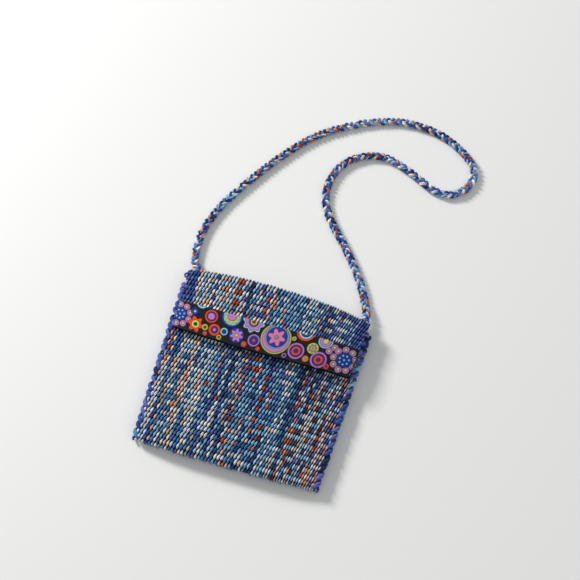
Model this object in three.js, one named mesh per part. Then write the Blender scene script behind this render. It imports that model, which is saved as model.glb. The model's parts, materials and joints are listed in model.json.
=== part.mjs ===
// A small handwoven shoulder bag: a folded cloth pouch, a front flap edged with a woven ribbon,
// and a braided strap. It lies on its back on z = 0: +X right, +Y towards the top fold and the
// strap, +Z out of the front. The origin is the middle of the pouch's base. Millimetres.
import * as THREE from 'three';

// Driving dimensions.
const pouchHeight = 168;        // from the bottom fold to the top fold
const topHalfWidth = 86.5;      // half the cloth's width at the top fold
const bottomHalfWidth = 78;     // half the cloth's width at the bottom fold
const cloth = 4;                // thickness of the thick woven cloth
const crown = 5.4;              // how far the front and the flap fall from the middle to a side
const crownPower = 4;           // a high power keeps the middle flat and the sides round
const sideRoom = 0.6;           // room left inside at the sides, where the panels are sewn
const topBow = 5.75;            // how far the top fold draws back at its corners
const gap = 0.3;                // clearance between touching pieces
const flapLength = 61.5;        // from the top fold to the flap's lower edge
const flapTaper = 4;            // how much narrower the ribbon draws each side of the flap
const mouthDepth = 18;          // from the top fold down to the front panel's upper edge
const hingeRadius = cloth / 2;  // round edge of the flap where it leaves the top fold
const foldRadius = 6;           // outer radius where the back turns up into the top fold
const foldHalfWidth = 69;       // the strap leaves the pouch outside this
const seamWidth = 2;            // thick yarn sewn along the sides
const ribbonWidth = 26;
const ribbonThickness = 0.8;
const ribbonOverhang = 0.4;     // how far the ribbon passes the flap's lower edge
const ribbonEndInset = 1.2;     // from the flap's side edge to the ribbon's end
const flapClearance = 1.6;      // room between the front and the flap
const threadWidth = 0.6;        // sewing thread
const threadInset = 1.6;        // from the ribbon's edge to the sewing thread
const threadReach = 0.97;       // share of the flap's width that the sewing thread crosses
const strapDiameter = 7;        // round envelope of the flat three-strand braid
const strapSides = 10;
const strapSteps = 76;
const strapEndX = 77.5;         // where the strap leaves the pouch, left and right
const strapEndWidth = 8;
const strapEndThickness = 4.2;
const strapExitZ = 6.4;
const strapExitInset = 1;       // from the hinge line to the strap's end pieces
const strapLead = 4;            // straight run of the strap as it leaves the pouch
const strapDip = 0.5;           // how far it has sunk at the end of that run
const tackLength = 3;           // along the strap
const tackThickness = 1;
const tackInset = 2;            // from the mouth to the tack
const acrossSteps = 16;         // facets across the width of a curved panel
const arcSteps = 8;             // facets round a fold

// Heights and edges worked out from them.
const topY = pouchHeight / 2;
const middleRoom = sideRoom + crown;
const bottomJoinY = -topY + cloth + middleRoom / 2;
const mouthY = topY - mouthDepth;
const backTopY = topY - foldRadius;
const frontTopZ = cloth + middleRoom + cloth;
const flapBottomZ = frontTopZ + flapClearance;
const hingeY = topY - hingeRadius;
const hingeZ = flapBottomZ + cloth / 2;
const flapEndY = topY - flapLength;
const ribbonLowY = flapEndY - ribbonOverhang;
const ribbonHighY = ribbonLowY + ribbonWidth;
const strapEndY = hingeY - strapExitInset;

// The strap's centre line where it lies on the surface behind the pouch, as [x, y].
const strapRoute = [
  [-83.5, 92.5], [-87, 108.5], [-87, 128.5], [-82, 149.5], [-75, 166.5], [-64, 187.5], [-52, 208.5],
  [-39, 228.5], [-25.5, 246.5], [-11, 261], [5, 272.5], [21, 282], [38, 289.5], [56, 294.5],
  [75, 295], [95, 291.5], [111.5, 284], [126, 273.5], [135.5, 262], [137, 248.5], [131, 235.5],
  [119, 227.5], [104, 228.5], [89.5, 236], [74, 244], [58, 250], [43, 250], [28, 243.5],
  [16.5, 232], [10.5, 217.5], [9, 202.5], [11.5, 188.5], [18.5, 174.5], [30, 159.5], [42, 145.5],
  [53.5, 130.5], [63.5, 115.5], [72, 99.5],
];

const halfWidthAt = (y) => {
  const share = (y + topY) / pouchHeight;
  return bottomHalfWidth + (topHalfWidth - bottomHalfWidth) * share;
};
const flapHalfWidthAt = (y) => {
  const share = Math.min((hingeY - y) / (hingeY - flapEndY), 1);
  return halfWidthAt(y) - flapTaper * Math.max(share, 0);
};
const dropAt = (across) => crown * Math.abs(across) ** crownPower;
const bowAt = (across) => topBow * across * across;

const colours = {
  weave: new THREE.Color(0.42, 0.47, 0.58),
  seam: new THREE.Color(0.16, 0.2, 0.48),
  ribbon: new THREE.Color(0.03, 0.03, 0.04),
  thread: new THREE.Color(0.05, 0.05, 0.06),
  strap: new THREE.Color(0.2, 0.26, 0.5),
};

function makePiece(name, geometry, colour, roughness = 0.95) {
  const material = new THREE.MeshStandardMaterial({ color: colours[colour], roughness, metalness: 0 });
  const mesh = new THREE.Mesh(geometry, material);
  mesh.name = name;
  return mesh;
}

// A box of across x along x 1 facets, each corner moved by place(u, v, w). u and v run over
// -1 to 1, and w over 0 to 1 through the thickness.
function bentPanel(across, along, place) {
  const geometry = new THREE.BoxGeometry(2, 2, 1, across, along, 1);
  const corners = geometry.attributes.position;
  for (let i = 0; i < corners.count; i += 1) {
    const [x, y, z] = place(corners.getX(i), corners.getY(i), corners.getZ(i) + 0.5);
    corners.setXYZ(i, x, y, z);
  }
  geometry.computeVertexNormals();
  return geometry;
}

const between = (low, high, v) => low + (high - low) * (v + 1) / 2;

function backPanel() {
  return bentPanel(acrossSteps, 1, (u, v, w) => {
    const y = between(bottomJoinY + gap, backTopY - gap - bowAt(u), v);
    return [u * halfWidthAt(y), y, w * cloth];
  });
}

function frontPanel() {
  return bentPanel(acrossSteps, 1, (u, v, w) => {
    const y = between(bottomJoinY + gap, mouthY, v);
    return [u * halfWidthAt(y), y, frontTopZ - dropAt(u) - (1 - w) * cloth];
  });
}

// Half a ring that turns the back into the front. Its radius shrinks towards the sides.
function bottomFold() {
  return bentPanel(acrossSteps, arcSteps, (u, v, w) => {
    const innerRadius = (middleRoom - dropAt(u)) / 2;
    const radius = innerRadius + w * cloth;
    const angle = v * Math.PI / 2;
    const y = bottomJoinY - radius * Math.cos(angle);
    return [u * halfWidthAt(bottomJoinY), y, cloth + innerRadius + radius * Math.sin(angle)];
  });
}

// The back turned up behind the mouth, to just under the flap's hinge.
function topFold() {
  const arcShare = 0.6;
  return bentPanel(acrossSteps, arcSteps + 2, (u, v, w) => {
    const across = u * foldHalfWidth / topHalfWidth;
    const radius = foldRadius - w * cloth;
    const centreY = backTopY - bowAt(across);
    const share = (v + 1) / 2;
    const angle = Math.PI / 2 * Math.min(share / arcShare, 1);
    const rise = Math.max(share - arcShare, 0) / (1 - arcShare);
    const straight = hingeZ - hingeRadius - gap - dropAt(across) - foldRadius;
    const y = centreY + radius * Math.sin(angle);
    const z = foldRadius - radius * Math.cos(angle) + rise * straight;
    return [u * foldHalfWidth, y, z];
  });
}

// Thick yarn sewn over the side edges of the back and the front.
function sideSeam(side) {
  const height = cloth + sideRoom + cloth;
  return bentPanel(1, 6, (u, v, w) => {
    const y = between(bottomJoinY, mouthY, v);
    const x = side * (halfWidthAt(y) + gap + seamWidth / 2) + u * seamWidth / 2;
    return [x, y, w * height];
  });
}

// A slab with a round edge at the hinge. The last facets close the round edge.
function flapPanel() {
  const lastAngle = 75 * Math.PI / 180;
  const straightSteps = 4;
  const roundSteps = 5;
  const steps = straightSteps + roundSteps;
  return bentPanel(acrossSteps, steps, (u, v, w) => {
    const step = (v + 1) / 2 * steps;
    const angle = lastAngle * Math.max(step - straightSteps, 0) / roundSteps;
    const share = Math.min(step / straightSteps, 1);
    const edgeY = hingeY - bowAt(u);
    const y = flapEndY + (edgeY - flapEndY) * share + hingeRadius * Math.sin(angle);
    const halfThickness = hingeRadius * Math.cos(angle);
    return [u * flapHalfWidthAt(y), y, hingeZ - dropAt(u) + (2 * w - 1) * halfThickness];
  });
}

function flapSelvedge(side) {
  const half = cloth / 2;
  return bentPanel(1, 3, (u, v, w) => {
    const y = between(flapEndY, hingeY - bowAt(1), v);
    const x = side * (flapHalfWidthAt(y) + gap + seamWidth / 2) + u * seamWidth / 2;
    return [x, y, hingeZ - dropAt(1) + (2 * w - 1) * half];
  });
}

// The ribbon lies over the flap's lower edge and stops just short of its sides.
function ribbonTrim() {
  return bentPanel(acrossSteps, 2, (u, v, w) => {
    const y = between(ribbonLowY, ribbonHighY, v);
    const x = u * (flapHalfWidthAt(y) - ribbonEndInset);
    const across = x / flapHalfWidthAt(y);
    const base = flapBottomZ + cloth - dropAt(across) + gap;
    return [x, y, base + w * ribbonThickness];
  });
}

function ribbonStitch(edgeY) {
  return bentPanel(acrossSteps, 1, (u, v, w) => {
    const across = u * threadReach;
    const y = edgeY + v * threadWidth / 2;
    const base = flapBottomZ + cloth - dropAt(across) + gap + ribbonThickness + gap;
    return [across * flapHalfWidthAt(y), y, base + w * threadWidth];
  });
}

function strapEnd(side) {
  const low = mouthY + 2 * gap;
  const high = strapEndY - gap;
  const geometry = new THREE.BoxGeometry(strapEndWidth, high - low, strapEndThickness);
  geometry.translate(side * strapEndX, (low + high) / 2, cloth + gap + strapEndThickness / 2);
  return geometry;
}

// A bridge of sewing yarn over the strap's end, with both feet on the back panel.
function strapTack(side) {
  const innerHalf = strapEndWidth / 2 + gap;
  const outerHalf = innerHalf + tackThickness;
  const footZ = cloth + gap;
  const innerZ = footZ + strapEndThickness + gap;
  const outerZ = innerZ + tackThickness;
  const outline = new THREE.Shape([
    new THREE.Vector2(-outerHalf, footZ),
    new THREE.Vector2(-innerHalf, footZ),
    new THREE.Vector2(-innerHalf, innerZ),
    new THREE.Vector2(innerHalf, innerZ),
    new THREE.Vector2(innerHalf, footZ),
    new THREE.Vector2(outerHalf, footZ),
    new THREE.Vector2(outerHalf, outerZ),
    new THREE.Vector2(-outerHalf, outerZ),
  ]);
  const geometry = new THREE.ExtrudeGeometry(outline, { depth: tackLength, bevelEnabled: false });
  geometry.rotateX(Math.PI / 2);
  // After the turn the outline stands upright and the bridge runs towards -Y.
  geometry.translate(side * strapEndX, mouthY + tackInset + tackLength, 0);
  return geometry;
}

function strapLine() {
  const radius = strapDiameter / 2;
  const points = [
    new THREE.Vector3(-strapEndX, strapEndY, strapExitZ),
    new THREE.Vector3(-strapEndX, strapEndY + strapLead, strapExitZ - strapDip),
  ];
  for (const [x, y] of strapRoute) points.push(new THREE.Vector3(x, y, radius));
  points.push(new THREE.Vector3(strapEndX, strapEndY + strapLead, strapExitZ - strapDip));
  points.push(new THREE.Vector3(strapEndX, strapEndY, strapExitZ));
  return new THREE.CatmullRomCurve3(points, false, 'centripetal');
}

function strap() {
  const section = new THREE.Shape();
  for (let i = 0; i < strapSides; i += 1) {
    const angle = 2 * Math.PI * i / strapSides;
    const x = strapDiameter / 2 * Math.cos(angle);
    const y = strapDiameter / 2 * Math.sin(angle);
    if (i === 0) section.moveTo(x, y);
    else section.lineTo(x, y);
  }
  section.closePath();
  const options = { steps: strapSteps, bevelEnabled: false, extrudePath: strapLine() };
  return new THREE.ExtrudeGeometry(section, options);
}

const pouch = new THREE.Group();
pouch.add(makePiece('back_panel', backPanel(), 'weave'));
pouch.add(makePiece('front_panel', frontPanel(), 'weave'));
pouch.add(makePiece('bottom_fold', bottomFold(), 'weave'));
pouch.add(makePiece('top_fold', topFold(), 'weave'));
pouch.add(makePiece('strap', strap(), 'strap'));

const flap = new THREE.Group();
flap.add(makePiece('flap_panel', flapPanel(), 'weave'));
flap.add(makePiece('ribbon_trim', ribbonTrim(), 'ribbon', 0.6));
flap.add(makePiece('ribbon_stitch_lower', ribbonStitch(ribbonLowY + threadInset), 'thread'));
flap.add(makePiece('ribbon_stitch_upper', ribbonStitch(ribbonHighY - threadInset), 'thread'));

for (const [side, word] of [[-1, 'left'], [1, 'right']]) {
  pouch.add(makePiece(`side_seam_${word}`, sideSeam(side), 'seam'));
  pouch.add(makePiece(`strap_end_${word}`, strapEnd(side), 'strap'));
  pouch.add(makePiece(`strap_tack_${word}`, strapTack(side), 'thread'));
  flap.add(makePiece(`flap_selvedge_${word}`, flapSelvedge(side), 'seam'));
}

const bag = new THREE.Group();
bag.add(pouch, flap);

export default bag;
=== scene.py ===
# %% [markdown]
# # A handwoven shoulder bag, yarn by yarn
# The bag is one long strip of thick cloth, woven on a small loom. The strip is folded into a
# pouch, its free end is the flap, a patterned ribbon edges the flap, and a braid of the same
# yarn is the strap. The imported model gives every size here, so the first cell loads it and
# keeps its parts.

# %% Load the frame
import json
import math
import bpy
import numpy as np
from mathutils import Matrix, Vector


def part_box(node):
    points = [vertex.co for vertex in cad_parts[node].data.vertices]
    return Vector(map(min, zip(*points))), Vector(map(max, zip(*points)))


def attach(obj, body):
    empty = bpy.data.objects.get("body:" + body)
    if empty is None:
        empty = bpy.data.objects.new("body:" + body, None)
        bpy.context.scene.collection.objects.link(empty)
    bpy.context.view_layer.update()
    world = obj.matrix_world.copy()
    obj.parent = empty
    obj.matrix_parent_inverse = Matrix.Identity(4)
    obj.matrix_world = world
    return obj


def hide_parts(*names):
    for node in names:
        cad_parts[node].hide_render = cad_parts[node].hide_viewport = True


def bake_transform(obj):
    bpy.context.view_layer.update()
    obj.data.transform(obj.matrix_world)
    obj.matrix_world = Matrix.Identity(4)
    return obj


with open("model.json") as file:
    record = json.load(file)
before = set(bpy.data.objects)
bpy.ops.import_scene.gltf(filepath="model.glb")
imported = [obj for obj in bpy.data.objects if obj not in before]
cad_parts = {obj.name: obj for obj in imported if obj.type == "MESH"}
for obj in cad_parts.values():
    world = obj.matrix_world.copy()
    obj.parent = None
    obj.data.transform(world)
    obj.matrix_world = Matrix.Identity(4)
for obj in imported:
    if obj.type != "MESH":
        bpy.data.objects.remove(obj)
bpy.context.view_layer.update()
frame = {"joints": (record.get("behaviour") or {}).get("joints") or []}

# %% [markdown]
# ## The camera
# The bag lies on its back and is seen from about 63 degrees above the table, turned a little
# clockwise. A lens of about 70 mm from a metre away keeps the sides of the pouch almost
# parallel. The camera looks at a spot between the flap and the strap's bend.

# %% Camera
MM = 0.001
LOOK_AT = Vector((0.0057, 0.0918, 0.0))
VIEW_TURN = math.radians(16.5)
VIEW_HEIGHT = math.radians(63)
VIEW_DISTANCE = 1.0
LENS = 69.6


def make_camera():
    back = Vector((
        math.sin(VIEW_TURN) * math.cos(VIEW_HEIGHT),
        -math.cos(VIEW_TURN) * math.cos(VIEW_HEIGHT),
        math.sin(VIEW_HEIGHT),
    ))
    camera = bpy.data.objects.new("camera", bpy.data.cameras.new("camera"))
    camera.data.lens = LENS
    camera.location = LOOK_AT + back * VIEW_DISTANCE
    camera.rotation_mode = "QUATERNION"
    camera.rotation_quaternion = (-back).to_track_quat("-Z", "Y")
    bpy.context.scene.collection.objects.link(camera)
    bpy.context.scene.camera = camera
    return camera


camera = make_camera()
print("camera stands at", tuple(round(v, 3) for v in camera.location))

# %% [markdown]
# ## Sizes of the cloth, read from the frame
# The cloth is followed along one path: down the front from the mouth, round the bottom fold,
# up the back, round the top fold, and down the flap. All that the path needs is in the boxes
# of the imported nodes. The front and the flap are crowned: they fall towards the sides. The
# flap's lower edge isn't quite level: it slants down to the right and sags in its middle.

# %% Sizes
back_low, back_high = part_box("back_panel")
front_low, front_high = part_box("front_panel")
bottom_low, bottom_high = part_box("bottom_fold")
_, fold_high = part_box("top_fold")
flap_low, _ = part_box("flap_panel")
ribbon_low, ribbon_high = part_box("ribbon_trim")
hinge = Vector(frame["joints"][0]["pos_m"])

CLOTH = back_high[2] - back_low[2]
BOTTOM_Y = bottom_low[1]
TOP_Y = fold_high[1]
MOUTH_Y = front_high[1]
FRONT_Z = front_high[2] - CLOTH / 2
FLAP_Z = hinge.z
FLAP_END_Y = flap_low[1]
CROWN = (front_high[2] - front_low[2]) - CLOTH
CROWN_POWER = 4
BOW = 5.75 * MM
SKEW = 3.2 * MM
FLAP_TAPER = 4 * MM
FLAP_SLANT = 3.7 * MM
FLAP_SAG = 3.2 * MM
SAG_LEAN = 0.4
BOTTOM_HALF = bottom_high[0]
TOP_HALF = BOTTOM_HALF + (
    (back_high[0] - BOTTOM_HALF) * (TOP_Y - BOTTOM_Y) / (back_high[1] - BOTTOM_Y))
FOLD_INSET = 0.5 * MM
FOLD_SHARE = (fold_high[0] - FOLD_INSET) / TOP_HALF
ROOM = front_high[2] - 2 * CLOTH
JOIN_Y = BOTTOM_Y + CLOTH + ROOM / 2
FOLD_RADIUS = 6 * MM
BACK_TOP_Y = TOP_Y - FOLD_RADIUS
TURN_RADIUS = CLOTH / 2


def half_width(y):
    """Half the cloth's width at a height y of the pouch."""
    widening = (TOP_HALF - BOTTOM_HALF) * (np.asarray(y) - BOTTOM_Y) / (TOP_Y - BOTTOM_Y)
    return BOTTOM_HALF + widening


def flap_half_width(y):
    """Half the flap's width, which the ribbon draws in a little."""
    share = np.clip((hinge.y - np.asarray(y)) / (hinge.y - FLAP_END_Y), 0, 1)
    return half_width(y) - FLAP_TAPER * share


def flap_dip(across):
    """How far the flap's lower edge hangs below its left end, from -1 to 1 across."""
    sag = FLAP_SAG * (1 - across ** 2) * (1 - SAG_LEAN * across)
    return FLAP_SLANT * (1 + across) / 2 + sag


def drop(across):
    """How far the front and the flap fall at a place across, from -1 to 1."""
    return CROWN * np.abs(across) ** CROWN_POWER


print("cloth", round(CLOTH / MM, 2), "crown", round(CROWN / MM, 2), "half width",
      round(BOTTOM_HALF / MM, 1), round(TOP_HALF / MM, 1))

# %% [markdown]
# ## The strap's route
# The strap is a free cord of known length, so it is laid out before anything else is made. Its
# points are the same as in the design of the part, in millimetres, and a centripetal
# Catmull-Rom curve joins them, as it does there.

# %% Strap route
STRAP_EXIT_X = 77.5
STRAP_EXIT_Y = 81.0
STRAP_EXIT_Z = 6.4
STRAP_LEAD = 4.0
STRAP_DIP = 0.5
STRAP_LIE_Z = 2.9
STRAP_POINTS = [
    (-83.5, 92.5), (-87, 108.5), (-87, 128.5), (-82, 149.5), (-75, 166.5), (-64, 187.5),
    (-52, 208.5), (-39, 228.5), (-25.5, 246.5), (-11, 261), (5, 272.5), (21, 282), (38, 289.5),
    (56, 294.5), (75, 295), (95, 291.5), (111.5, 284), (126, 273.5), (135.5, 262), (137, 248.5),
    (131, 235.5), (119, 227.5), (104, 228.5), (89.5, 236), (74, 244), (58, 250), (43, 250),
    (28, 243.5), (16.5, 232), (10.5, 217.5), (9, 202.5), (11.5, 188.5), (18.5, 174.5),
    (30, 159.5), (42, 145.5), (53.5, 130.5), (63.5, 115.5), (72, 99.5),
]


def smooth_line(points, per_span=24):
    """A centripetal Catmull-Rom curve through the points, evenly finely sampled."""
    p = np.asarray(points, float)
    p = np.vstack([2 * p[0] - p[1], p, 2 * p[-1] - p[-2]])
    line = []
    for i in range(1, len(p) - 2):
        a, b, c, d = p[i - 1], p[i], p[i + 1], p[i + 2]
        t0 = 0.0
        t1 = t0 + np.linalg.norm(b - a) ** 0.5
        t2 = t1 + np.linalg.norm(c - b) ** 0.5
        t3 = t2 + np.linalg.norm(d - c) ** 0.5
        t = np.linspace(t1, t2, per_span, endpoint=False)[:, None]
        ab = (t1 - t) / (t1 - t0) * a + (t - t0) / (t1 - t0) * b
        bc = (t2 - t) / (t2 - t1) * b + (t - t1) / (t2 - t1) * c
        cd = (t3 - t) / (t3 - t2) * c + (t - t2) / (t3 - t2) * d
        abc = (t2 - t) / (t2 - t0) * ab + (t - t0) / (t2 - t0) * bc
        bcd = (t3 - t) / (t3 - t1) * bc + (t - t1) / (t3 - t1) * cd
        line.append((t2 - t) / (t2 - t1) * abc + (t - t1) / (t2 - t1) * bcd)
    return np.vstack(line + [p[-2][None]])


def even_line(line, step):
    """The same line with points a step apart."""
    run = np.concatenate([[0], np.cumsum(np.linalg.norm(np.diff(line, axis=0), axis=1))])
    count = int(round(run[-1] / step)) + 1
    wanted = np.linspace(0, run[-1], count)
    return np.stack([np.interp(wanted, run, line[:, k]) for k in range(3)], axis=1)


def strap_line():
    ends = [(STRAP_EXIT_Y, STRAP_EXIT_Z), (STRAP_EXIT_Y + STRAP_LEAD, STRAP_EXIT_Z - STRAP_DIP)]
    points = [(-STRAP_EXIT_X, y, z) for y, z in ends]
    points += [(x, y, STRAP_LIE_Z) for x, y in STRAP_POINTS]
    points += [(STRAP_EXIT_X, y, z) for y, z in reversed(ends)]
    return smooth_line(points) * MM


STRAP_LINE = strap_line()
STRAP_LENGTH = float(np.linalg.norm(np.diff(STRAP_LINE, axis=0), axis=1).sum())
print("strap is", round(STRAP_LENGTH, 3), "m long")

# %% [markdown]
# ## From rings of points to yarn
# Every yarn in the bag is a closed tube that changes its section as it goes, plump where it
# shows and pinched where it dives under its neighbour. A Blender curve could be bevelled, but
# its section can't follow the weave so closely, so the rings are worked out with numpy and
# joined into one mesh for each group of yarns. Each tube carries where a point lies round and
# along it (for the twist of the plies), its tone, which the dye below turns into a colour, and
# how much light reaches it between its neighbours.

# %% One yarn
def unit(v):
    return v / np.maximum(np.linalg.norm(v, axis=-1, keepdims=True), 1e-12)


def yarn(centre, up, wide, tall, tone, run=None, lit=1.0):
    """One tube: its centre line, the direction of its height, half sizes, tone, run and light."""
    centre = np.asarray(centre, float)
    n = len(centre)
    along = unit(np.gradient(centre, axis=0))
    up = np.broadcast_to(np.asarray(up, float), centre.shape)
    side = unit(np.cross(along, up))
    up = np.cross(side, along)
    if run is None:
        steps = np.linalg.norm(np.diff(centre, axis=0), axis=1)
        run = np.concatenate([[0], np.cumsum(steps)])
    values = [np.broadcast_to(np.asarray(v, float), (n,)) for v in (wide, tall, tone, run, lit)]
    return centre, side, up, *values


# %% Yarns as a mesh
def mesh_object(name, points, corners, starts):
    """A smooth mesh from its points, the corners of its faces and where each face starts."""
    mesh = bpy.data.meshes.new(name)
    mesh.vertices.add(len(points))
    mesh.vertices.foreach_set("co", np.asarray(points, np.float32).ravel())
    mesh.loops.add(len(corners))
    mesh.loops.foreach_set("vertex_index", np.asarray(corners, np.int32))
    mesh.polygons.add(len(starts))
    mesh.polygons.foreach_set("loop_start", np.asarray(starts, np.int32))
    mesh.update(calc_edges=True)
    mesh.polygons.foreach_set("use_smooth", np.full(len(starts), True))
    piece = bpy.data.objects.new(name, mesh)
    bpy.context.scene.collection.objects.link(piece)
    return piece


def yarn_piece(name, yarns, sides=8):
    """All the yarns as one mesh, with a UV map of (turn, run in mm) and the values tone and lit."""
    turn = np.arange(sides) / sides
    points, tones, lights, corners, starts, uvs = [], [], [], [], [], []
    first, corner = 0, 0
    for centre, side, up, wide, tall, tone, run, lit in yarns:
        n = len(centre)
        ring = (centre[:, None]
                + side[:, None] * (wide[:, None] * np.cos(2 * np.pi * turn))[..., None]
                + up[:, None] * (tall[:, None] * np.sin(2 * np.pi * turn))[..., None])
        points.append(ring.reshape(-1, 3))
        tones.append(np.repeat(tone, sides))
        lights.append(np.repeat(lit, sides))
        i, j = np.meshgrid(np.arange(n - 1), np.arange(sides), indexing="ij")
        k = (j + 1) % sides
        near, far = i * sides, (i + 1) * sides
        quads = np.stack([near + j, near + k, far + k, far + j], -1)
        corners.append(first + quads.reshape(-1))
        starts.append(corner + 4 * np.arange(quads.size // 4))
        u = np.stack([j, j + 1, j + 1, j], -1) / sides
        v = np.stack([run[i], run[i], run[i + 1], run[i + 1]], -1) / MM
        uvs.append(np.stack([u, v], -1).reshape(-1, 2))
        corner += quads.size
        caps = [np.arange(sides)[::-1], (n - 1) * sides + np.arange(sides)]
        for cap, at in zip(caps, (run[0], run[-1])):
            corners.append(first + cap)
            starts.append(np.array([corner]))
            uvs.append(np.stack([turn, np.full(sides, at / MM)], -1))
            corner += sides
        first += n * sides
    piece = mesh_object(name, np.vstack(points), np.concatenate(corners), np.concatenate(starts))
    layer = piece.data.uv_layers.new(name="yarn")
    layer.data.foreach_set("uv", np.vstack(uvs).astype(np.float32).ravel())
    for label, values in (("tone", tones), ("lit", lights)):
        layer = piece.data.attributes.new(label, "FLOAT", "POINT")
        layer.data.foreach_set("value", np.concatenate(values).astype(np.float32))
    print(name, len(yarns), "yarns,", len(piece.data.polygons), "faces")
    return piece


# %% [markdown]
# ## The dyed yarn
# The bag is woven from one variegated wool: the colour changes every few centimetres, from
# violet through blues to cream, peach and rust. Each tone is a place from 0 to 1 on one
# colour ramp, so that neighbours on the ramp blend as they do in a dyed skein. A node group
# turns the tone and the place on the yarn into colour, roughness and the relief of the plies,
# and paints shade into the colour: darker in the grooves between the plies, and darker where
# the yarn dips under its neighbours.

# %% Palette
TONES = {
    "violet": (0.02, (100, 106, 178)),
    "royal": (0.14, (48, 82, 162)),
    "navy": (0.24, (24, 34, 84)),
    "deep": (0.34, (38, 76, 126)),
    "mid": (0.44, (72, 130, 186)),
    "sky": (0.54, (138, 188, 226)),
    "ice": (0.64, (212, 228, 240)),
    "cream": (0.74, (248, 240, 232)),
    "peach": (0.83, (226, 176, 150)),
    "rust": (0.92, (206, 84, 40)),
    "brown": (0.99, (104, 42, 34)),
}


def linear(colour):
    """A colour named in display values from 0 to 255, as the shader's linear RGBA."""
    c = np.asarray(colour, float) / 255
    c = np.where(c <= 0.04045, c / 12.92, ((c + 0.055) / 1.055) ** 2.4)
    return (*c.tolist(), 1.0)


# %% [markdown]
# A small helper keeps the node cells short: it adds a node, sets its plain values and links
# its inputs in one call.

# %% Node helper
def add_node(tree, kind, inputs=None, **settings):
    node = tree.nodes.new(kind)
    for key, value in settings.items():
        setattr(node, key, value)
    for key, value in (inputs or {}).items():
        if isinstance(value, bpy.types.NodeSocket):
            tree.links.new(value, node.inputs[key])
        else:
            node.inputs[key].default_value = value
    return node


def math_node(tree, operation, a, b=0.0, c=0.0):
    node = tree.nodes.new("ShaderNodeMath")
    node.operation = operation
    for socket, value in zip(node.inputs, (a, b, c)):
        if isinstance(value, bpy.types.NodeSocket):
            tree.links.new(value, socket)
        else:
            socket.default_value = value
    return node.outputs[0]


def new_group(name, inputs, outputs):
    tree = bpy.data.node_groups.new(name, "ShaderNodeTree")
    for direction, sockets in (("INPUT", inputs), ("OUTPUT", outputs)):
        for label, kind in sockets.items():
            tree.interface.new_socket(label, in_out=direction, socket_type=f"NodeSocket{kind}")
    return tree, tree.nodes.new("NodeGroupInput"), tree.nodes.new("NodeGroupOutput")


# %% Plied yarn as a node group
PLY_POWER = 0.6
PLY_SHADE = 0.5
FIBRE_STRETCH = (14, 1.3, 1)
FIBRE_SCALE = 2.2
FIBRE_DETAIL = 3.0
FIBRE_SHADE, FIBRE_BASE = 0.7, 0.65
FIBRE_ROUGH, LEAST_ROUGH = 0.25, 0.68
FIBRE_RELIEF = 0.35


def plied_yarn_group():
    """Tone, painted shade, place and number of plies in; colour with painted shade, roughness and
    height of the plies out.
    """
    tree, given, result = new_group(
        "plied_yarn",
        {"Tone": "Float", "Lit": "Float", "Place": "Vector", "Plies": "Float",
         "Twist mm": "Float"},
        {"Color": "Color", "Roughness": "Float", "Height": "Float"},
    )
    ramp = add_node(tree, "ShaderNodeValToRGB", {"Fac": given.outputs["Tone"]})
    stops = ramp.color_ramp.elements
    for place, colour in TONES.values():
        stop = stops.new(place)
        stop.color = linear(colour)
    stops.remove(stops[0])
    stops.remove(stops[-1])
    place = add_node(tree, "ShaderNodeSeparateXYZ", {"Vector": given.outputs["Place"]})
    winds = math_node(tree, "MULTIPLY", place.outputs["X"], given.outputs["Plies"])
    slant = math_node(tree, "DIVIDE", place.outputs["Y"], given.outputs["Twist mm"])
    phase = math_node(tree, "MULTIPLY", math_node(tree, "ADD", winds, slant), math.pi)
    ply = math_node(tree, "ABSOLUTE", math_node(tree, "SINE", phase))
    ply = math_node(tree, "POWER", ply, PLY_POWER)
    stretched = add_node(tree, "ShaderNodeMapping", {"Vector": given.outputs["Place"]})
    stretched.inputs["Scale"].default_value = FIBRE_STRETCH
    fibre = add_node(tree, "ShaderNodeTexNoise", {
        "Vector": stretched.outputs[0], "Scale": FIBRE_SCALE, "Detail": FIBRE_DETAIL})
    # painted shade: the colour is darker in the grooves between the plies, down to half
    shade = math_node(tree, "MULTIPLY_ADD", ply, PLY_SHADE, 1 - PLY_SHADE)
    speck = math_node(tree, "MULTIPLY_ADD", fibre.outputs["Fac"], FIBRE_SHADE, FIBRE_BASE)
    own = math_node(tree, "MULTIPLY", shade, speck)
    # painted shade: Lit darkens the colour where the yarn dips between its neighbours
    value = math_node(tree, "MULTIPLY", own, given.outputs["Lit"])
    tinted = add_node(tree, "ShaderNodeHueSaturation", {
        "Color": ramp.outputs["Color"], "Value": value})
    tree.links.new(tinted.outputs["Color"], result.inputs["Color"])
    rough = math_node(tree, "MULTIPLY_ADD", fibre.outputs["Fac"], FIBRE_ROUGH, LEAST_ROUGH)
    tree.links.new(rough, result.inputs["Roughness"])
    height = math_node(tree, "MULTIPLY_ADD", fibre.outputs["Fac"], FIBRE_RELIEF, ply)
    tree.links.new(height, result.inputs["Height"])
    return tree


PLIED_YARN = plied_yarn_group()

# %% [markdown]
# Wool scatters light in its loose outer hairs, which a little sheen shows. The relief of the
# plies is a bump, because each ply is only a third of a millimetre deep.

# %% Yarn material
PLY_RELIEF = 0.25 * MM
WOOL_SHEEN = 0.1


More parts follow.
